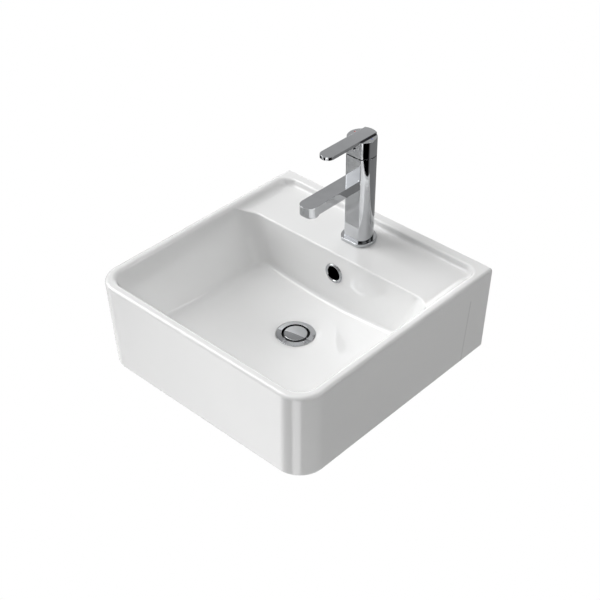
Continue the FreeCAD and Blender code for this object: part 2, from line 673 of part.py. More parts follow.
# cartridge
CB = d.cham_z + 0.4
keep("cartridge_seals", fuse(torus(3.5, 0.8, d.inlet_x - 0.8, IY, CB + 0.4), torus(3.5, 0.8, -d.inlet_x + 0.8, IY, CB + 0.4),
                             torus(4.1, 0.8, 0, TY + 6.2, CB + 0.4)))
nodes["cartridge_seals"].Refine = False
D0 = d.cham_z + 5.0                                # underside of the fixed disc
PX = d.inlet_x - 0.8
base = cut(cyl(d.cart_r, D0 - CB, 0, TY, CB),
           cyl(2.5, 20.0, PX, IY, CB - 5.0), cyl(2.5, 20.0, -PX, IY, CB - 5.0), cyl(3.1, 20.0, 0, TY + 6.2, CB - 5.0),
           torus(3.5, 0.85, PX, IY, CB + 0.4), torus(3.5, 0.85, -PX, IY, CB + 0.4), torus(4.1, 0.85, 0, TY + 6.2, CB + 0.4),
           box(-20.0, 20.0, TY - 20.0, TY + 20.0, CB - 0.8, CB))
keep("cartridge_base", base)
D1 = D0 + 3.5
keep("fixed_disc", cut(cyl(d.cart_in_r - 0.1, D1 - D0, 0, TY, D0),
                       cyl(2.2, 20.0, PX - 0.4, IY, D0 - 5.0), cyl(2.2, 20.0, -PX + 0.4, IY, D0 - 5.0),
                       cyl(2.8, 20.0, 0, TY + 5.8, D0 - 5.0)))
D2 = D1 + 0.05
MY = TY + d.disc_off
keep("moving_disc", cut(cyl(d.disc_r, 3.45, 0, MY, D2),
                        fuse(cyl(3.4, 2.0, 0, MY + 2.2, D2 - 0.4), box(-3.0, 3.0, MY - 3.0, MY + 2.0, D2 - 0.4, D2 + 1.6))))
D3 = D2 + 3.45
carrier = cut(cyl(d.disc_r - 0.5, 4.0, 0, MY, D3),
              box(-d.stem_x / 2 - 0.2, d.stem_x / 2 + 0.2, TY - 2.9, TY + 2.9, D3 + 1.0, D3 + 9.0))
keep("disc_carrier", carrier)
D4 = D3 + 4.0
keep("cartridge_housing", turned("cartridge_housing", [
    (d.cart_in_r, D0), (d.cart_r, D0), (d.cart_r, d.shoulder_z), (d.rotor_r + 1.9, d.shoulder_z), (d.rotor_r + 1.9, d.neck_top),
    (d.rotor_r + 0.06, d.neck_top), (d.rotor_r + 0.06, d.shoulder_z + 1.5), (d.rotor_r + 1.7, d.shoulder_z - 3.2),
    (d.cart_in_r, d.shoulder_z - 3.2)], 0, TY))
rotor = fuse(cyl(d.rotor_r, d.rotor_top - D4 - 0.1, 0, TY, D4 + 0.1), cyl(d.rotor_r + 2.2, d.shoulder_z - 3.4 - D4 - 0.1, 0, TY, D4 + 0.1))
rotor = cut(rotor, box(-d.stem_x / 2 - 0.2, d.stem_x / 2 + 0.2, TY - 30.0, TY + 30.0, D4 - 1.0, d.rotor_top + 1.0))
pin_half = d.rotor_r - 0.6
halves = cut(rotor, cyl(1.25, 40.0, -20.0, TY, d.pivot_z, "x"))
bridge_back = box(-d.stem_x / 2 - 0.3, d.stem_x / 2 + 0.3, TY + 5.2, TY + d.rotor_r - 0.9, d.shoulder_z - 1.0, d.rotor_top - 4.0)
keep("cartridge_rotor", fuse(halves, bridge_back))
keep("stem_pin", cyl(1.22, 2 * pin_half, -pin_half, TY, d.pivot_z, "x"))
TIP = D3 + 1.6
stem = fuse(box(-d.stem_x / 2, d.stem_x / 2, TY - d.stem_yw / 2, TY + d.stem_yw / 2, TIP + 2.0, d.slot_floor - 1.2),
            cyl(2.4, d.stem_x, -d.stem_x / 2, TY, TIP + 2.4, "x"))
keep("cartridge_stem", cut(stem, cyl(1.26, 40.0, -20.0, TY, d.pivot_z, "x")))
nut = turned("cartridge_nut_blank", [
    (d.rotor_r + 2.1, d.shoulder_z), (d.thread_r, d.shoulder_z), (d.thread_r, d.neck_top + 0.4), (d.rotor_r + 2.1, d.neck_top + 0.4)], 0, TY)
keep("cartridge_nut", cut(nut, box(-1.6, 1.6, TY - 30.0, TY + 30.0, d.neck_top - 1.6, d.neck_top + 5.0),
                          box(-30.0, 30.0, TY - 1.6, TY + 1.6, d.neck_top - 1.6, d.neck_top + 5.0)))

# head and lever
AZ = d.neck_top + 1.1
keep("head_adapter", cut(turned("head_adapter_ring", [
    (d.rotor_r + 0.03, AZ), (d.head_bore_r - 0.03, AZ), (d.head_bore_r - 0.03, AZ + 4.0), (d.rotor_r + 0.03, AZ + 4.0)], 0, TY),
    box(-5.0, 5.0, TY - 12.6, TY - 7.0, AZ - 1.0, AZ + 6.0)))
SIDE = d.lever_half + d.slot_gap
head = soften(dee(d.col_r, d.col_flat, d.head_z, d.head_top), at_height(d.head_top, 0.4))
relief = box(-SIDE, SIDE, 0.0, 40.0, 0.0, 14.0)
relief.Placement = FreeCAD.Placement(Vec(0, 0, 0), Rot(Vec(1, 0, 0), -19.0))
relief.setExpression("Placement.Base.x", (-SIDE).e)
relief.setExpression("Placement.Base.y", (TY - 1.0).e)
relief.setExpression("Placement.Base.z", (d.slot_floor - 0.6).e)
head = cut(head,
           cyl(d.head_bore_r, d.head_roof - d.head_z + 1.0, 0, TY, d.head_z - 1.0),
           box(-SIDE, SIDE, TY - 40.0, TY + 40.0, d.slot_floor, d.head_top + 10.0),
           relief,
           box(-6.6, 6.6, TY - 8.6, TY + 14.0, d.head_roof - 1.0, d.head_top + 1.0),
           cyl(d.access_r, 12.0, 0, TY - 24.0, d.grub_z, "y"),
           cyl(d.mark_r + 0.02, 3.0, d.mark_x, d.mark_y, d.head_top - 0.8),
           cyl(d.mark_r + 0.02, 3.0, -d.mark_x, d.mark_y, d.head_top - 0.8))
keep("mixer_head", head)
keep("hot_mark", cyl(d.mark_r, 0.85, -d.mark_x, d.mark_y, d.head_top - 0.8))
keep("cold_mark", cyl(d.mark_r, 0.85, d.mark_x, d.mark_y, d.head_top - 0.8))

bar = fuse(box(-d.lever_half, d.lever_half, d.lever_tip, TY, d.lever_z, d.lever_top),
           cyl(d.lever_half, d.lever_top - d.lever_z, 0, d.lever_tip, d.lever_z),
           common(cyl(d.col_r, d.lever_top - d.lever_z, 0, TY, d.lever_z),
                  box(-d.lever_half, d.lever_half, TY - 5.0, TY + 40.0, d.lever_z, d.lever_top)))
bar = soften(bar, at_height(d.lever_top, 0.3))
hub = box(-5.5, 5.5, TY - 6.6, TY + 5.4, d.pivot_z + 5.0, d.lever_z + 1.0)
lever = cut(fuse(bar, hub),
            box(-d.stem_x / 2 - 0.03, d.stem_x / 2 + 0.03, TY - d.stem_yw / 2 - 0.03, TY + d.stem_yw / 2 + 0.03,
                d.pivot_z, d.slot_floor - 1.1),
            cyl(d.grub_r + 0.02, 10.0, 0, TY - 12.0, d.grub_z, "y"))
keep("mixer_lever", lever)
grub = cut(cyl(d.grub_r, 4.2, 0, TY - d.stem_yw / 2 - 4.25, d.grub_z, "y"),
           place(hexa(1.45, 2.0), 0, TY - d.stem_yw / 2 - 4.35, d.grub_z, AXES["y"]))
keep("grub_screw", grub)

# clamp under the deck
UZ = d.deck_z - d.deck_t
mouth = box(-13.5, 13.5, TY - 40.0, TY + 3.0, UZ - 20.0, UZ + 5.0)
stud_hole = cyl(d.stud_r + 0.2, 30.0, 0, TY + d.stud_dy, UZ - 20.0)
keep("deck_gasket", cut(cyl(25.0, 2.5, 0, TY, UZ - 2.5), mouth, stud_hole))
keep("deck_clamp", cut(cyl(24.5, 2.5, 0, TY, UZ - 5.0), mouth, stud_hole))
STUD_TOP = d.shank_z + 14.5
keep("fixing_stud", cyl(d.stud_r, STUD_TOP - (UZ - 42.0), 0, TY + d.stud_dy, UZ - 42.0))
keep("fixing_nut", cut(hexa(8.0, 12.0, 0, TY + d.stud_dy, UZ - 17.0), cyl(d.stud_r + 0.03, 30.0, 0, TY + d.stud_dy, UZ - 25.0)))

# ---------------------------------------------------------------- check and write
doc.recompute()
for obj in doc.Objects:
    bad = [s for s in obj.State if s in ("Invalid", "Error")]
    if bad:
        raise RuntimeError("%s (%s): %s" % (obj.Name, obj.Label, bad))
for name, obj in nodes.items():
    shape = obj.Shape
    if shape.isNull() or not shape.isValid() or not shape.Solids or shape.Volume < 0.5:
        raise RuntimeError("%s: shape is null, invalid or empty" % name)
os.makedirs("parts", exist_ok=True)
for name, obj in sorted(nodes.items()):
    obj.Shape.exportStep("parts/%s.step" % name)
    b = obj.Shape.optimalBoundingBox(False, False)
    print("%-20s solids %d  vol %9.1f  x %7.1f %7.1f  y %7.1f %7.1f  z %7.1f %7.1f" % (
        name, len(obj.Shape.Solids), obj.Shape.Volume, b.XMin, b.XMax, b.YMin, b.YMax, b.ZMin, b.ZMax))
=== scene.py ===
import json
import math

import bpy
import numpy as np
from mathutils import Matrix, Vector


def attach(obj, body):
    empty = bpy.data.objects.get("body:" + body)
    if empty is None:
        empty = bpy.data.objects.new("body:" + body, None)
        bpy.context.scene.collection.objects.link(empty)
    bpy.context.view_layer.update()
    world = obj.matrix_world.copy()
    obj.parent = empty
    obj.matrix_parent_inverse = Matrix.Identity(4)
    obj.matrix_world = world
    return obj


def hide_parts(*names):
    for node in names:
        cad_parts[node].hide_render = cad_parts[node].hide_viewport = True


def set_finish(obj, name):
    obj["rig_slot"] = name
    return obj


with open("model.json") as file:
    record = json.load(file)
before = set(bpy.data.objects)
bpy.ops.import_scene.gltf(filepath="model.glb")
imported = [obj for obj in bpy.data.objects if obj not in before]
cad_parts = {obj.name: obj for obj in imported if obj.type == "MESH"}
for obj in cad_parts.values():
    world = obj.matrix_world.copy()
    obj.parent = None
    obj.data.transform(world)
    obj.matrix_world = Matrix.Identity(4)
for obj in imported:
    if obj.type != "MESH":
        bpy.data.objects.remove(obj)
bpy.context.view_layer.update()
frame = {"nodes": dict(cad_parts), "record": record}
nodes = frame["nodes"]

# ---------------------------------------------------------------- shapes from distance fields (millimetres)
MM = 0.001


def ri(a, b, r):
    """Both at once, the edge between them rounded."""
    return np.minimum(np.maximum(a, b), -r) + np.hypot(np.maximum(a + r, 0), np.maximum(b + r, 0))


def ru(a, b, r):
    """Either one, the inside corner between them rounded."""
    return -ri(-a, -b, r)


def ease(v, a, b):
    t = np.clip((v - a) / (b - a), 0.0, 1.0)
    return t * t * (3 - 2 * t)


def rows(*stops):
    """Grid lines through (start, step) stops; the last stop is the end."""
    out = []
    for (a, step), (b, _) in zip(stops, stops[1:]):
        n = max(1, int(round((b - a) / step)))
        out.extend(np.linspace(a, b, n, endpoint=False))
    out.append(stops[-1][0])
    return np.array(out)


def both_sides(*stops):
    half = rows(*stops)
    return np.concatenate([-half[:0:-1], half])


def slope_of(field, p, h=0.05):
    x, y, z = p.T
    g = np.stack([field(x + h, y, z) - field(x - h, y, z),
                  field(x, y + h, z) - field(x, y - h, z),
                  field(x, y, z + h) - field(x, y, z - h)], 1) / (2 * h)
    return g


def settle(field, p, rounds=4, reach=2.0):
    """Moves points onto the surface."""
    for _ in range(rounds):
        g = slope_of(field, p)
        step = field(*p.T)[:, None] * g / np.maximum((g * g).sum(1), 0.05)[:, None]
        size = np.linalg.norm(step, axis=1)[:, None]
        p = p - step * np.minimum(1.0, reach / np.maximum(size, 1e-9))
    return p


def skin(field, xs, ys, zs):
    """Vertices and four-sided faces of the surface where field is zero."""
    shape = (len(xs), len(ys), len(zs))
    F = np.empty(shape, np.float64)
    for k in range(0, shape[2], 16):
        X, Y, Z = np.meshgrid(xs, ys, zs[k:k + 16], indexing="ij")
        F[:, :, k:k + 16] = field(X, Y, Z)
    inside = F < 0
    cells = tuple(n - 1 for n in shape)
    corner = np.zeros(cells, np.int8)
    for a in (0, 1):
        for b in (0, 1):
            for c in (0, 1):
                corner += inside[a:cells[0] + a, b:cells[1] + b, c:cells[2] + c]
    live = (corner > 0) & (corner < 8)
    I, J, K = np.nonzero(live)
    index = np.full(cells, -1, np.int64)
    index[live] = np.arange(len(I))
    total = np.zeros((len(I), 3))
    hits = np.zeros(len(I))
    grid = (xs, ys, zs)
    for axis in range(3):
        u, v = [k for k in range(3) if k != axis]
        for a in (0, 1):
            for b in (0, 1):
                lo = [I, J, K]
                lo[u] = lo[u] + a
                lo[v] = lo[v] + b
                hi = list(lo)
                hi[axis] = hi[axis] + 1
                f0, f1 = F[tuple(lo)], F[tuple(hi)]
                m = (f0 < 0) != (f1 < 0)
                t = f0[m] / (f0[m] - f1[m])
                for k in range(3):
                    p = grid[k][lo[k][m]]
                    if k == axis:
                        p = p + t * (grid[k][hi[k][m]] - p)
                    total[m, k] += p
                hits[m] += 1
    verts = total / hits[:, None]
    faces = []
    for axis in range(3):
        u, v = [k for k in range(3) if k != axis]
        lo = [slice(None)] * 3
        hi = [slice(None)] * 3
        lo[axis], hi[axis] = slice(None, -1), slice(1, None)
        a, b = inside[tuple(lo)], inside[tuple(hi)]
        at = np.array(np.nonzero(a != b)).T
        at = at[(at[:, u] > 0) & (at[:, u] < shape[u] - 1) & (at[:, v] > 0) & (at[:, v] < shape[v] - 1)]
        out = a[tuple(at.T)]
        quad = []
        for du, dv in ((-1, -1), (0, -1), (0, 0), (-1, 0)):
            c = at.copy()
            c[:, u] += du
            c[:, v] += dv
            quad.append(index[tuple(c.T)])
        quad = np.array(quad).T
        flip = out if axis != 1 else ~out
        quad[~flip] = quad[~flip][:, ::-1]
        faces.append(quad)
    return verts, np.concatenate(faces)


def mesh_of(name, verts, faces):
    """Mesh from arrays; faces all have the same number of corners. Millimetres in, metres out."""
    me = bpy.data.meshes.new(name)
    n = faces.shape[1]
    me.vertices.add(len(verts))
    me.vertices.foreach_set("co", (verts * MM).astype(np.float32).ravel())
    me.loops.add(faces.size)
    me.loops.foreach_set("vertex_index", faces.astype(np.int32).ravel())
    me.polygons.add(len(faces))
    me.polygons.foreach_set("loop_start", np.arange(0, faces.size, n, dtype=np.int32))
    me.update(calc_edges=True)
    return me


def thing(name, me):
    o = bpy.data.objects.new(name, me)
    bpy.context.scene.collection.objects.link(o)
    return o


def level_normals(me, field, p, g):
    """Corner normals: one normal for a whole face where the surface under it is flat, the point's own elsewhere."""
    n = len(me.polygons)
    idx = np.empty(len(me.loops), np.int32)
    me.loops.foreach_get("vertex_index", idx)
    start = np.empty(n, np.int32)
    me.polygons.foreach_get("loop_start", start)
    size = np.empty(n, np.int32)
    me.polygons.foreach_get("loop_total", size)
    out = g[idx]
    tri = size == 3
    at = start[tri][:, None] + np.arange(3)
    c = p[idx[at]]
    mid = c.mean(1)

    def way(q):
        w = slope_of(field, q, 0.01)
        return w / np.maximum(np.linalg.norm(w, axis=1), 1e-9)[:, None]

    m = way(mid)
    same = np.zeros(len(mid), int)
    for k in range(3):
        same += np.linalg.norm(way(mid + 0.6 * (c[:, k] - mid)) - m, axis=1) < 0.001
    flat = (same == 3) | ((same == 2) & (np.abs(m).max(1) > 1 - 1e-6))
    out[at[flat]] = m[flat][:, None, :]
    return out


def from_field(name, field, xs, ys, zs, share=1.0, level=False):
    """Object whose surface is the field's zero: even fine skin, thinned where flat, with the field's own normals."""
    v, f = skin(field, xs, ys, zs)
    v = settle(field, v)
    o = thing(name, mesh_of(name, v, f))
    if share < 1.0:
        m = o.modifiers.new("thin", "DECIMATE")
        m.ratio = share
        deps = bpy.context.evaluated_depsgraph_get()
        thin = bpy.data.meshes.new_from_object(o.evaluated_get(deps))
        o.modifiers.clear()
        old = o.data
        o.data = thin
        bpy.data.meshes.remove(old)
        thin.name = name
    me = o.data
    co = np.empty(len(me.vertices) * 3, np.float32)
    me.vertices.foreach_get("co", co)
    p = settle(field, co.reshape(-1, 3).astype(np.float64) / MM, 3, 0.6)
    me.vertices.foreach_set("co", (p * MM).astype(np.float32).ravel())
    g = slope_of(field, p, 0.03)
    g /= np.maximum(np.linalg.norm(g, axis=1), 1e-9)[:, None]
    me.polygons.foreach_set("use_smooth", np.ones(len(me.polygons), bool))
    me.update()
    if level:
        me.normals_split_custom_set(level_normals(me, field, p, g).astype(np.float32))
    else:
        me.normals_split_custom_set_from_vertices(g.astype(np.float32))
    return o


# ---------------------------------------------------------------- turned pieces
def rounded(points):
    """Profile points (radius, height, corner radius) -> arc points with their outward normals, anticlockwise."""
    n = len(points)
    out = []
    for i in range(n):
        a, b, c = [np.array(points[(i + k) % n][:2], float) for k in (-1, 0, 1)]
        r = points[i][2]
        u, w = (a - b), (c - b)
        lu, lw = np.linalg.norm(u), np.linalg.norm(w)
        u, w = u / lu, w / lw
        n0 = np.array([-u[1], u[0]])            # outward normal of the edge a-b, walked anticlockwise
        n1 = np.array([w[1], -w[0]])
        turn = math.acos(max(-1.0, min(1.0, float(n0 @ n1))))
        if turn < 1e-3:
            out.append((b, n0))
            continue
        r = max(r, 0.05)
        back = min(r * math.tan(turn / 2), 0.49 * lu, 0.49 * lw)
        r = back / math.tan(turn / 2)
        side = 1.0 if (n0[0] * n1[1] - n0[1] * n1[0]) > 0 else -1.0
        centre = b + u * back - side * n0 * r
        steps = max(2, int(math.ceil(turn / 0.22)))
        for k in range(steps + 1):
            t = turn * k / steps * side
            nn = np.array([n0[0] * math.cos(t) - n0[1] * math.sin(t), n0[0] * math.sin(t) + n0[1] * math.cos(t)])
            out.append((centre + side * nn * r, nn))
    return out


def turned(name, points, centre, segments=128, tilt=0.0, closed=True):
    """Piece of revolution about a vertical line (or one tilted about X) through centre, in millimetres."""
    prof = rounded(points)
    p = np.array([q[0] for q in prof])
    nn = np.array([q[1] for q in prof])
    m = len(p)
    th = np.linspace(0, 2 * np.pi, segments, endpoint=False)
    c, s = np.cos(th)[:, None], np.sin(th)[:, None]
    v = np.stack([p[:, 0] * c, p[:, 0] * s, np.broadcast_to(p[:, 1], (segments, m))], 2).reshape(-1, 3)
    g = np.stack([nn[:, 0] * c, nn[:, 0] * s, np.broadcast_to(nn[:, 1], (segments, m))], 2).reshape(-1, 3)
    i, j = np.meshgrid(np.arange(segments), np.arange(m if closed else m - 1), indexing="ij")
    i2, j2 = (i + 1) % segments, (j + 1) % m
    f = np.stack([i * m + j, i2 * m + j, i2 * m + j2, i * m + j2], -1).reshape(-1, 4)
    R = np.array(Matrix.Rotation(tilt, 3, "X"))
    v, g = v @ R.T + np.array(centre), g @ R.T
    me = mesh_of(name, v, f)
    me.polygons.foreach_set("use_smooth", np.ones(len(me.polygons), bool))
    me.normals_split_custom_set_from_vertices(g.astype(np.float32))
    return thing(name, me)


# ---------------------------------------------------------------- ceramic
WY = -206.5                                     # waste axis
TY = -62.0                                      # tap axis
OZ = 27.0                                       # overflow axis


def plan_box(ax, f, half, front, r):
    qx, qf = ax - half + r, f - front + r
    return np.hypot(np.maximum(qx, 0), np.maximum(qf, 0)) + np.minimum(np.maximum(qx, qf), 0) - r


def unit(s):
    return 1.0 / math.hypot(1.0, s)


def bowl_parts(ax, f, z, rw):
    side = (ax - (196.0 - 0.44 * (75.0 - z))) * unit(0.44)
    front = (f - (405.7 - 0.30 * (75.0 - z))) * unit(0.30)
    walls = ri(side, front, 29.0)
    floor = (-44.4 + 0.12 * rw - z) * unit(0.12)
    ledge_front = (f - (119.0 + 0.01 * (64.0 - z))) * unit(0.01)
    return walls, floor, ledge_front


def ceramic(x, y, z):
    ax, f = np.abs(x), -y
    rw = np.hypot(x, y - WY)
    lean = 5.5 * (75.0 - z) / 150.0
    # outside
    plan = plan_box(ax, f, 210.0 - lean, 420.0 - lean, 42.0)
    body = ri(plan, z - 75.0, 6.0)
    body = ri(body, y, 1.6)
    body = ri(body, -75.0 - z, 2.5)
    # hollow underneath
    walls, floor, ledge_front = bowl_parts(ax, f, z, rw)
    hollow = ri(plan_box(ax, f, 199.0 - lean, 409.0 - lean, 31.0), 12.0 - f, 6.0)
    hollow = ri(hollow, z - 52.0, 8.0)
    lining = ri(ri(walls, -ledge_front, 28.0), floor, 12.0) - 11.2
    hollow = ri(hollow, -lining, 9.0)
    shell = ri(body, -hollow, 3.0)
    rib = np.maximum(ri(ax - 20.0, np.maximum(89.0 - f, f - 206.5), 4.0), np.maximum(-71.4 - z, z - 54.0))
    boss = np.maximum(rw - 38.0, np.maximum(-71.4 - z, z + 50.0))
    shell = ru(shell, ri(rib, -71.4 - z, 2.0), 7.0)
    shell = ru(shell, ri(boss, -71.4 - z, 1.5), 7.0)
    # bowl with the tap ledge in it
    rear = (16.5 + 0.20 * (75.0 - z) - f) * unit(0.20)
    inner = ri(walls, rear, 18.0)
    above = ri(inner, 64.0 - z, 3.6 + 7.4 * ease(f, 24.0, 48.0))
    nose = 0.05 + 2.55 * ease(-inner, 2.0, 14.0)
    inner = ru(above, ri(walls, -ledge_front, 28.0), nose)
    inner = ri(inner, floor, 7.0)
    lip = 3.0 + 1.6 * ease(f, 20.0, 45.0)
    k = ri(shell, -inner, lip)
    # holes
    k = ri(k, -np.maximum(np.hypot(x, y - TY) - 17.5, 40.0 - z), 1.0)
    k = ri(k, -np.maximum(rw - 23.7, z + 30.0), 1.0)
    seat = np.minimum(ri(rw - 31.0, -43.9 - z, 0.3), np.maximum((rw - 31.0 - 2.0 * (z + 42.0)) * unit(2.0), -42.0 - z))
    k = ri(k, -np.maximum(seat, z + 36.0), 2.5)
    k = ri(k, -np.maximum(np.hypot(ax - 140.0, z) - 8.0, f - 30.0), 1.2)
    k = ri(k, -np.maximum(np.hypot(x, z - OZ) - 13.9, np.maximum(102.0 - f, f - 135.0)), 1.2)
    duct = np.maximum(np.maximum(ax - 12.0, 97.0 - f),
                      np.minimum(np.maximum(f - 110.0, np.maximum(-66.0 - z, z - 42.0)),
                                 np.maximum(f - 206.5, np.maximum(-66.0 - z, z + 54.0))))
    return np.maximum(k, -duct)


basin = from_field(
    "basin_glazed", ceramic,
    both_sides((0, 2.0), (40, 3.0), (128, 1.4), (176, 1.1), (212, 0)),
    rows((-422, 1.1), (-366, 2.4), (-246, 1.6), (-168, 2.2), (-152, 1.2), (-110, 2.4), (-34, 1.2), (-8, 0.8), (2, 0)),
    rows((-77, 1.2), (-68, 2.6), (-50, 0.9), (-14, 2.4), (52, 1.1), (77, 0)), 0.26)
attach(basin, "basin")
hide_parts("ceramic_basin")
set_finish(basin, "glaze")


# ---------------------------------------------------------------- mixer
def dee(x, y, r, flat, edge):
    return ri(np.hypot(x, y - TY) - r, TY - flat - y, edge)


def slab(z, lo, hi):
    return np.maximum(lo - z, z - hi)


def tap_body(x, y, z):
    ax = np.abs(x)
    column = ri(dee(x, y, 22.85, 18.0, 0.25), slab(z, 70.1, 216.6), 0.2)
    end = np.where(y < -177.1, np.hypot(x, y + 177.1) - 14.0, ax - 14.0)
    spout = ri(np.maximum(end, y - TY), slab(z, 166.0, 181.4), 0.35)
    outlet = ri(np.hypot(x, y + 173.5) - 11.8, slab(z, 160.8, 170.0), 0.5)
    shank = ri(np.hypot(x, y - TY) - 16.8, slab(z, 56.0, 75.0), 0.8)
    k = np.minimum(column, spout)
    k = ru(k, outlet, 0.3)
    k = ru(k, shank, 0.2)
    k = ri(k, -np.maximum(np.hypot(x, y + 173.5) - 9.6, z - 172.0), 0.35)
    k = ri(k, -np.maximum(np.hypot(x, y - TY) - 12.7, 190.0 - z), 0.3)
    k = ri(k, -np.maximum(np.hypot(x, y - TY) - 14.25, 208.5 - z), 0.3)
    k = ri(k, -np.maximum(np.hypot(ax - 8.0, y + 64.5) - 4.5, z - 68.0), 0.4)
    return k


mixer = from_field(
    "mixer_column_and_spout", tap_body,
    both_sides((0, 0.9), (9, 0.6), (13.5, 0.11), (14.6, 0.5), (24, 0)),
    rows((-192.4, 0.4), (-176, 0.9), (-158, 3.0), (-92, 1.2), (-81.0, 0.11), (-79.2, 0.6), (-74, 0.9), (-38, 0)),
    rows((55, 0.45), (58, 1.0), (69.6, 0.12), (70.8, 5.0), (159.5, 0.4), (160.4, 0.15), (161.8, 0.6), (165.5, 0.12), (166.6, 0.8),
         (180.6, 0.1), (181.9, 1.8), (214, 0.6), (216.0, 0.1), (217.0, 0)), 0.3, True)
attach(mixer, "basin")
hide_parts("mixer_body")
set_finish(mixer, "chrome")


def foot_plate(x, y, z):
    k = ri(dee(x, y, 27.9, 23.4, 0.6), slab(z, 64.3, 70.1), 0.6)
    return np.maximum(k, 16.9 - np.hypot(x, y - TY))


foot = from_field("mixer_foot_plate", foot_plate, both_sides((0, 0.7), (14.4, 0.25), (16.0, 0.6), (28.8, 0)),
                  rows((-86.4, 0.2), (-84.0, 0.6), (-33, 0)), rows((63.8, 0.2), (65.2, 0.9), (69.0, 0.15), (70.7, 0)), 0.35, True)
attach(foot, "basin")
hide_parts("base_plate")
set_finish(foot, "chrome")


def tap_head(x, y, z):
    ax = np.abs(x)
    k = ri(dee(x, y, 22.85, 18.0, 0.25), z - 245.7, 0.4)
    k = ri(k, 217.8 - z, 0.2)
    k = ri(k, -np.maximum(np.hypot(x, y - TY) - 15.0, z - 238.4), 0.4)
    tilt = math.radians(19.0)
    ry, rz = y - (TY - 1.0), z - 242.3
    relief = np.maximum(-(rz * math.cos(tilt) + ry * math.sin(tilt)), -(ry * math.cos(tilt) - rz * math.sin(tilt)))
    slot = np.minimum(242.9 - z, relief)
    k = ri(k, -np.maximum(ax - 12.0, slot), 0.08)
    k = ri(k, -np.maximum(ax - 6.6, np.maximum(slab(y, TY - 8.6, TY + 14.0), 237.0 - z)), 0.3)
    k = ri(k, -np.maximum(np.hypot(x, z - 233.2) - 3.2, y - (TY - 11.0)), 0.2)
    k = ri(k, -np.maximum(np.hypot(ax - 16.6, y + 59.2) - 1.3, 244.8 - z), 0.12)
    return k


head = from_field("mixer_head_shell", tap_head,
                  both_sides((0, 0.45), (11.5, 0.11), (12.5, 0.5), (13.6, 0.11), (14.6, 0.55), (24, 0)),
                  rows((-80.9, 0.11), (-79.3, 0.6), (-61, 0.45), (-57, 0.6), (-38, 0)),
                  rows((217.3, 0.11), (218.4, 1.6), (228, 0.45), (242.3, 0.11), (243.4, 0.4), (245.0, 0.1), (246.2, 0)), 0.35, True)
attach(head, "mixer_head")
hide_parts("mixer_head")
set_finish(head, "chrome")


def tap_lever(x, y, z):
    ax = np.abs(x)
    end = np.where(y < -138.0, np.hypot(x, y + 138.0) - 11.7, ax - 11.7)
    plan = ri(end, np.hypot(x, np.maximum(y - TY, 0)) - 22.85, 0.3)
    bar = ri(plan, z - 248.4, 0.3)
    bar = ri(bar, 243.1 - z, 0.15)
    hub = ri(np.maximum(ax - 5.5, slab(y, TY - 6.6, TY + 5.4)), slab(z, 231.0, 244.1), 0.4)
    k = ru(bar, hub, 0.2)
    return np.maximum(k, -np.maximum(np.maximum(ax - 3.03, np.abs(y - TY) - 2.53), z - 241.8))


lever = from_field("mixer_lever_bar", tap_lever, both_sides((0, 0.9), (5, 0.5), (11.0, 0.1), (12.3, 0)),
                   rows((-150.8, 0.35), (-137, 2.5), (-72, 0.9), (-50, 0.45), (-38, 0)),
                   rows((230, 1.4), (242.5, 0.1), (243.9, 0.7), (247.6, 0.09), (248.9, 0)), 0.35, True)
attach(lever, "mixer_lever")
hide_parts("mixer_lever")
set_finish(lever, "chrome")

# ---------------------------------------------------------------- waste, plug and overflow
FZ, FT = -42.9, -40.7
PITCH = 2.309


def waste(x, y, z):
    rr = np.hypot(x, y - WY)
    turn = np.arctan2(y - WY, x) / (2 * np.pi)
    saw = np.abs(((z / PITCH - turn) % 1.0) - 0.5) * 2.0
    thread = 0.62 * saw * ease(z, -134.6, -131.0) * ease(-z, 56.0, 60.0) * (1 - ease(z, -97.2, -96.0) * ease(-z, 92.0, 93.2))
    groove = 0.8 * ease(z, -96.0, -95.4) * ease(-z, 93.4, 94.0)
    tail = ri(rr - (20.95 - np.maximum(thread, groove)), slab(z, -135.0, FZ), 0.8)
    neck = ri(rr - 23.2, slab(z, -54.5, FZ + 1.0), 0.5)
    top = FT - 0.8 * np.clip((rr - 22.0) / 8.4, 0, 1)
    flange = ri(ri(rr - 30.4, (z - top) * 0.99, 0.45), FZ - z, 0.2)
    k = np.minimum(np.minimum(tail, neck), flange)
    mouth = np.maximum(rr - 22.0, (FT - 6.85 + (rr - 18.8) * 0.5 - z) * 0.894)
    k = ri(k, -np.minimum(mouth, rr - 18.5), 0.35)
    slots = np.maximum(np.minimum(np.abs(x), np.abs(y - WY)) - 7.0, slab(z, -65.0, -55.0))
    k = ri(k, -slots, 0.3)
    bridge = np.maximum(np.minimum(np.maximum(np.abs(y - WY) - 4.0, rr - 19.2), rr - 10.0), slab(z, -80.0, -72.0))
    return np.maximum(np.minimum(k, bridge), 7.03 - rr)


pipe = from_field("waste_flange_and_tail", waste, both_sides((0, 0.75), (32, 0)),
                  rows((WY - 32, 0.75), (WY + 32, 0)), rows((-136, 0.4), (-92, 0.7), (-48.5, 0.4), (-43.5, 0.18), (-40.0, 0)), 0.3)
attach(pipe, "basin")
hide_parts("waste_body")
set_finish(pipe, "chrome")

cap = turned("plug_cap_domed", [
    (0.02, -44.9, 0.05), (2.5, -44.9, 0.1), (2.5, -50.7, 0.3), (5.5, -50.7, 0.3), (5.5, -42.9, 0.3), (18.1, -42.9, 0.25),
    (18.1, -40.0 - 18.1 ** 2 / 640.0, 0.7)] + [(r, -40.0 - r * r / 640.0, 300.0) for r in (15.0, 12.0, 9.0, 6.0, 3.0)] + [(0.02, -40.0, 0.05)],
    (0, WY, 0), 128)
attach(cap, "plug")
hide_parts("plug_cap")
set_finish(cap, "chrome")

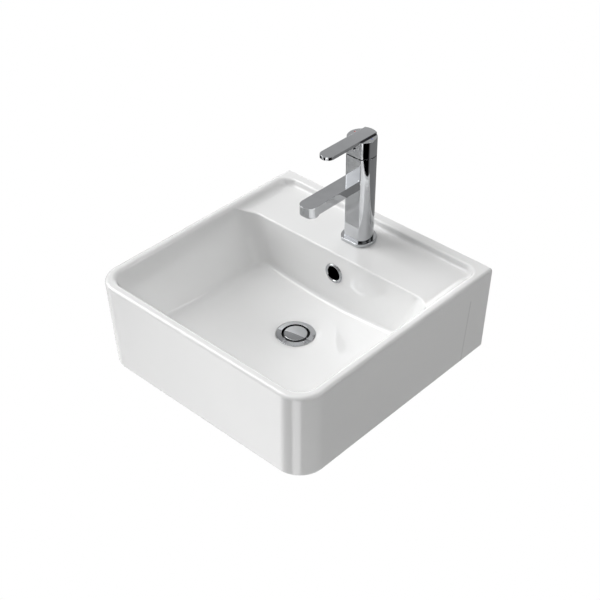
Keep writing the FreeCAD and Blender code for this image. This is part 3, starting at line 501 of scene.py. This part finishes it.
ring = turned("overflow_trim", [
    (12.2, -9.0, 0.3), (13.1, -9.0, 0.3), (13.1, 0.0, 0.1), (16.8, 0.0, 0.1), (16.8, 1.2, 0.5), (15.3, 1.3, 0.3), (14.7, 1.8, 0.35),
    (13.0, 1.8, 0.5), (12.2, 1.0, 0.4)],
    (0, -(119.0 + 0.01 * (64.0 - OZ)) - 0.05, OZ), 96, math.radians(90.0 - math.degrees(math.atan(0.01))))
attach(ring, "basin")
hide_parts("overflow_ring")
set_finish(ring, "chrome_trim")


# ---------------------------------------------------------------- materials
def material(name):
    m = bpy.data.materials.new(name)
    m.use_nodes = True
    t = m.node_tree
    b = next(n for n in t.nodes if n.type == "BSDF_PRINCIPLED")
    return m, t, b


def noise(t, scale, detail=3.0, rough=0.5, stretch=(1, 1, 1)):
    co = t.nodes.new("ShaderNodeTexCoord")
    mp = t.nodes.new("ShaderNodeMapping")
    mp.inputs["Scale"].default_value = stretch
    nz = t.nodes.new("ShaderNodeTexNoise")
    nz.inputs["Scale"].default_value = scale
    nz.inputs["Detail"].default_value = detail
    nz.inputs["Roughness"].default_value = rough
    t.links.new(co.outputs["Object"], mp.inputs["Vector"])
    t.links.new(mp.outputs["Vector"], nz.inputs["Vector"])
    return nz


def spread(t, source, low, high, a=0.3, b=0.7):
    r = t.nodes.new("ShaderNodeMapRange")
    r.inputs["From Min"].default_value = a
    r.inputs["From Max"].default_value = b
    r.inputs["To Min"].default_value = low
    r.inputs["To Max"].default_value = high
    t.links.new(source, r.inputs["Value"])
    return r.outputs["Result"]


def tint(t, source, low, high, a=0.3, b=0.7):
    r = t.nodes.new("ShaderNodeValToRGB")
    r.color_ramp.elements[0].position = a
    r.color_ramp.elements[0].color = (*low, 1)
    r.color_ramp.elements[1].position = b
    r.color_ramp.elements[1].color = (*high, 1)
    t.links.new(source, r.inputs["Fac"])
    return r.outputs["Color"]


def relief(t, b, source, strength, distance):
    n = t.nodes.new("ShaderNodeBump")
    n.inputs["Strength"].default_value = strength
    n.inputs["Distance"].default_value = distance
    t.links.new(source, n.inputs["Height"])
    t.links.new(n.outputs["Normal"], b.inputs["Normal"])
    return n


def inside_of(t, low, high, blur=0.0006):
    """1 inside a box of the object's own coordinates (metres), 0 outside."""
    co = t.nodes.new("ShaderNodeTexCoord")
    part = t.nodes.new("ShaderNodeSeparateXYZ")
    t.links.new(co.outputs["Object"], part.inputs["Vector"])
    out = None
    for k, axis in enumerate("XYZ"):
        for start, end in ((low[k] - blur, low[k]), (high[k] + blur, high[k])):
            r = t.nodes.new("ShaderNodeMapRange")
            r.inputs["From Min"].default_value = start
            r.inputs["From Max"].default_value = end
            t.links.new(part.outputs[axis], r.inputs["Value"])
            out = r.outputs["Result"] if out is None else joined(t, "MULTIPLY", out, r.outputs["Result"])
    return out


def round_axis(t, x, y, radius, low, high, blur=0.0003):
    """1 within a radius of a vertical line between two heights of the object's own coordinates (metres), 0 outside."""
    co = t.nodes.new("ShaderNodeTexCoord")
    part = t.nodes.new("ShaderNodeSeparateXYZ")
    t.links.new(co.outputs["Object"], part.inputs["Vector"])
    off = t.nodes.new("ShaderNodeVectorMath")
    off.operation = "MULTIPLY_ADD"
    off.inputs[1].default_value = (1, 1, 0)
    off.inputs[2].default_value = (-x, -y, 0)
    t.links.new(co.outputs["Object"], off.inputs[0])
    far = t.nodes.new("ShaderNodeVectorMath")
    far.operation = "LENGTH"
    t.links.new(off.outputs[0], far.inputs[0])
    out = None
    for source, start, end in ((far.outputs["Value"], radius + blur, radius), (part.outputs["Z"], low - blur, low),
                               (part.outputs["Z"], high + blur, high)):
        r = t.nodes.new("ShaderNodeMapRange")
        r.inputs["From Min"].default_value = start
        r.inputs["From Max"].default_value = end
        t.links.new(source, r.inputs["Value"])
        out = r.outputs["Result"] if out is None else joined(t, "MULTIPLY", out, r.outputs["Result"])
    return out


def groove_shade_line(t, depth, slope, half):
    """1 along a line near the wall on the sides, its distance from the wall changing with height (metres), 0 elsewhere."""
    co = t.nodes.new("ShaderNodeTexCoord")
    d = t.nodes.new("ShaderNodeVectorMath")
    d.operation = "DOT_PRODUCT"
    d.inputs[1].default_value = (0, 1, -slope)
    t.links.new(co.outputs["Object"], d.inputs[0])
    ends = []
    for start, end in ((-depth - 1.8 * half, -depth - half), (-depth + 1.8 * half, -depth + half)):
        r = t.nodes.new("ShaderNodeMapRange")
        r.inputs["From Min"].default_value = start
        r.inputs["From Max"].default_value = end
        t.links.new(d.outputs["Value"], r.inputs["Value"])
        ends.append(r.outputs["Result"])
    return joined(t, "MULTIPLY", *ends)


def joined(t, op, a, b):
    n = t.nodes.new("ShaderNodeMath")
    n.operation = op
    t.links.new(a, n.inputs[0])
    t.links.new(b, n.inputs[1])
    return n.outputs[0]


def darkened(t, colour, where, dark=0.012):
    n = t.nodes.new("ShaderNodeMix")
    n.data_type = "RGBA"
    t.links.new(where, n.inputs["Factor"])
    t.links.new(colour, n.inputs["A"])
    n.inputs["B"].default_value = (dark, dark, dark, 1)
    return n.outputs["Result"]


def make_glaze():
    m, t, b = material("glaze")
    broad = noise(t, 9.0, 2.0, 0.4)
    fine = noise(t, 160.0, 2.0, 0.5)
    pale = tint(t, broad.outputs["Fac"], (0.792, 0.794, 0.792), (0.808, 0.809, 0.806))
    duct = inside_of(t, (-0.0146, -0.1178, -0.067), (0.0146, -0.0965, 0.043))      # painted shade: the overflow duct's inside coloured near black, standing in for the shade in it
    # painted shade: a thin line on the outer sides, darkened to 0.69 of the glaze colour, stands in for the shade in a
    # shallow groove
    groove_shade = groove_shade_line(t, 0.0506, 0.0505, 0.0011)
    groove_shade = joined(t, "MULTIPLY", groove_shade, inside_of(t, (0.196, -0.06, -0.0735), (0.212, -0.04, 0.040)))
    t.links.new(darkened(t, darkened(t, pale, groove_shade, 0.69), duct), b.inputs["Base Color"])
    t.links.new(spread(t, fine.outputs["Fac"], 0.05, 0.08), b.inputs["Roughness"])
    b.inputs["IOR"].default_value = 1.5
    b.inputs["Coat Weight"].default_value = 0.25
    b.inputs["Coat Roughness"].default_value = 0.03
    relief(t, b, broad.outputs["Fac"], 0.05, 0.004)
    return m


def make_chrome(name, low, high, rough, shade_spots):
    m, t, b = material(name)
    broad = noise(t, 60.0, 3.0, 0.5)
    fine = noise(t, 900.0, 2.0, 0.6)
    colour = tint(t, broad.outputs["Fac"], low, high)
    where = None
    # painted shade: the listed spots are coloured near black, standing in for the shade in recesses and gaps
    for kind, *size in shade_spots:
        one = kind(t, *size)
        where = one if where is None else joined(t, "MAXIMUM", where, one)
    t.links.new(darkened(t, colour, where), b.inputs["Base Color"])
    t.links.new(spread(t, fine.outputs["Fac"], rough * 0.8, rough * 1.25), b.inputs["Roughness"])
    b.inputs["Metallic"].default_value = 1.0
    return m


def make_metal(name, low, high, rough0, rough1, scale, stretch, bump):
    m, t, b = material(name)
    grain = noise(t, scale, 4.0, 0.6, stretch)
    t.links.new(tint(t, grain.outputs["Fac"], low, high), b.inputs["Base Color"])
    t.links.new(spread(t, grain.outputs["Fac"], rough0, rough1), b.inputs["Roughness"])
    b.inputs["Metallic"].default_value = 1.0
    relief(t, b, grain.outputs["Fac"], 0.15, bump)
    return m


def make_soft(name, low, high, rough0, rough1, scale, bump):
    m, t, b = material(name)
    grain = noise(t, scale, 4.0, 0.6)
    t.links.new(tint(t, grain.outputs["Fac"], low, high), b.inputs["Base Color"])
    t.links.new(spread(t, grain.outputs["Fac"], rough0, rough1), b.inputs["Roughness"])
    relief(t, b, grain.outputs["Fac"], 0.2, bump)
    return m


LOOK = {
    "glaze": make_glaze(),
    # painted shade, coloured near black where shade falls: inside the waste's mouth, the joint under the tap's head,
    # the grub screw's hole; the overflow's sleeve is in chrome_trim below
    "chrome": make_chrome("chrome", (0.54, 0.55, 0.565), (0.57, 0.58, 0.595), 0.035, [
        (round_axis, 0.0, WY * MM, 0.0221, -0.075, -0.0412), (round_axis, 0.0, TY * MM, 0.0224, 0.2164, 0.2180),
        (inside_of, (-0.0033, -0.0797, 0.2298), (0.0033, -0.060, 0.2366), 0.0002)]),
    # painted shade: the overflow trim's sleeve inside the wall is coloured near black, standing in for the shade in the
    # hole
    "chrome_trim": make_chrome("chrome_trim", (0.47, 0.48, 0.495), (0.51, 0.52, 0.535), 0.05, [
        (inside_of, (-0.0136, -0.1196, 0.012), (0.0136, -0.1, 0.042))]),
    "brass": make_metal("brass", (0.55, 0.38, 0.15), (0.72, 0.54, 0.26), 0.22, 0.38, 400.0, (1, 1, 6), 0.0002),
    "steel": make_metal("steel", (0.45, 0.45, 0.46), (0.62, 0.62, 0.63), 0.28, 0.45, 500.0, (1, 1, 5), 0.0002),
    "rubber": make_soft("rubber", (0.018, 0.018, 0.019), (0.035, 0.035, 0.037), 0.55, 0.75, 700.0, 0.0003),
    "white_plastic": make_soft("white_plastic", (0.70, 0.70, 0.68), (0.80, 0.80, 0.78), 0.35, 0.5, 500.0, 0.0002),
    "grey_plastic": make_soft("grey_plastic", (0.16, 0.165, 0.18), (0.23, 0.235, 0.25), 0.35, 0.5, 500.0, 0.0002),
    "disc_ceramic": make_soft("disc_ceramic", (0.78, 0.77, 0.73), (0.86, 0.85, 0.81), 0.15, 0.25, 600.0, 0.0001),
    "red_mark": make_soft("red_mark", (0.36, 0.004, 0.004), (0.46, 0.01, 0.01), 0.45, 0.6, 900.0, 0.0001),
    "blue_mark": make_soft("blue_mark", (0.0, 0.02, 0.30), (0.005, 0.04, 0.40), 0.45, 0.6, 900.0, 0.0001),
}


def dress(o, m):
    o.data.materials.clear()
    o.data.materials.append(m)


for s in frame["record"]["subparts"]:
    dress(nodes[s["node"]], LOOK[s["material_slot"]])
for o in (basin, mixer, foot, head, lever, pipe, cap, ring):
    dress(o, LOOK[o["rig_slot"]])

# ---------------------------------------------------------------- stage, light and camera
bpy.ops.mesh.primitive_plane_add(size=60.0, location=(0, 0, -0.775))
floor = bpy.context.object
floor.name = "floor"
m, t, b = material("floor_white")
b.inputs["Base Color"].default_value = (0.0, 0.0, 0.0, 1)
b.inputs["Specular IOR Level"].default_value = 0.0
b.inputs["Emission Color"].default_value = (1, 1, 1, 1)
b.inputs["Emission Strength"].default_value = 1.0
dress(floor, m)
floor.visible_glossy = False
floor.visible_diffuse = False
floor.visible_shadow = False


# studio of soft panels all round: compass angle (0 front, 90 right, 180 back), half width, lower and upper height angle, brightness
PANELS = [
    (-65.0, 21.2, 8.9, 64.9, 5.25),             # key window at the left
    (-141.5, 12.6, -12.7, 25.2, 1.91),          # strip behind, left
    (-146.8, 29.2, 15.4, 74.1, 0.38),           # its soft surround
    (-142.0, 16.0, 29.0, 38.0, 0.13),           # brighter band in it
    (-19.9, 34.2, 56.8, 90.0, 1.96),            # ceiling, front left
    (-169.8, 55.8, 50.2, 90.0, 0.66),           # ceiling, back
    (16.4, 54.2, 47.0, 63.4, 1.84),             # fill above the camera
    (107.5, 20.8, 12.7, 25.7, 5.1),             # strip at the right
    (83.0, 11.0, 33.0, 41.0, 0.42),             # small reflector over it
    (138.0, 10.0, 32.0, 42.0, 0.32),            # small reflector behind, right
    (28.6, 14.3, -58.5, -13.3, 2.80),           # strip below the front right corner
    (-38.3, 11.7, -59.9, -14.2, 1.19),          # strip below the front left corner
    (-106.1, 71.6, -50.0, -36.2, 1.03),         # left, below
    (147.4, 46.2, -47.1, -14.3, 0.26),          # back right, below
    (0.0, 180.0, -90.0, -50.0, 0.9),            # pale ground
]
world = bpy.data.worlds.new("studio")
bpy.context.scene.world = world
world.use_nodes = True
wt = world.node_tree
bg = next(n for n in wt.nodes if n.type == "BACKGROUND")
way = wt.nodes.new("ShaderNodeTexCoord").outputs["Generated"]
xyz = wt.nodes.new("ShaderNodeSeparateXYZ")
wt.links.new(way, xyz.inputs["Vector"])
level = wt.nodes.new("ShaderNodeVectorMath")
level.operation = "MULTIPLY"
level.inputs[1].default_value = (1, 1, 0)
wt.links.new(way, level.inputs[0])
heading = wt.nodes.new("ShaderNodeVectorMath")
heading.operation = "NORMALIZE"
wt.links.new(level.outputs[0], heading.inputs[0])


def wmath(op, a, b):
    n = wt.nodes.new("ShaderNodeMath")
    n.operation = op
    for k, v in enumerate((a, b)):
        if isinstance(v, (int, float)):
            n.inputs[k].default_value = v
        else:
            wt.links.new(v, n.inputs[k])
    return n.outputs[0]


def edge(value, lo, hi, up=True):
    r = wt.nodes.new("ShaderNodeMapRange")
    r.interpolation_type = "SMOOTHSTEP"
    r.inputs["From Min"].default_value = lo
    r.inputs["From Max"].default_value = hi
    r.inputs["To Min"].default_value = 0.0 if up else 1.0
    r.inputs["To Max"].default_value = 1.0 if up else 0.0
    wt.links.new(value, r.inputs["Value"])
    return r.outputs["Result"]


def panel(turn, half, low, high, bright, soft=9.0, fade=6.0):
    rad = math.radians
    out = bright
    if half < 180.0:
        d = wt.nodes.new("ShaderNodeVectorMath")
        d.operation = "DOT_PRODUCT"
        d.inputs[1].default_value = (math.sin(rad(turn)), -math.cos(rad(turn)), 0)
        wt.links.new(heading.outputs[0], d.inputs[0])
        out = wmath("MULTIPLY", edge(d.outputs["Value"], math.cos(rad(half + soft)), math.cos(rad(max(half - soft, 0.0)))), out)
    if low > -89.0:
        out = wmath("MULTIPLY", edge(xyz.outputs["Z"], math.sin(rad(low - fade)), math.sin(rad(low + fade))), out)
    if high < 89.0:
        out = wmath("MULTIPLY", edge(xyz.outputs["Z"], math.sin(rad(high - fade)), math.sin(rad(high + fade)), False), out)
    return out


total = 0.0
for p in PANELS:
    total = wmath("ADD", panel(*p), total)
wt.links.new(total, bg.inputs["Color"])
bg.inputs["Strength"].default_value = 1.0

scene = bpy.context.scene
scene.view_settings.view_transform = "Standard"
scene.view_settings.look = "None"
cam = bpy.data.cameras.new("camera")
cam.sensor_width = 36.0
cam.lens = 1266.10 / 600.0 * 36.0
cam.clip_start, cam.clip_end = 0.05, 200.0
camera = bpy.data.objects.new("camera", cam)
scene.collection.objects.link(camera)
camera.location = (1.039015, -1.319981, 1.177780)
camera.rotation_euler = Vector((-0.54110917, 0.58497906, -0.60415259)).to_track_quat("-Z", "Y").to_euler()
scene.camera = camera
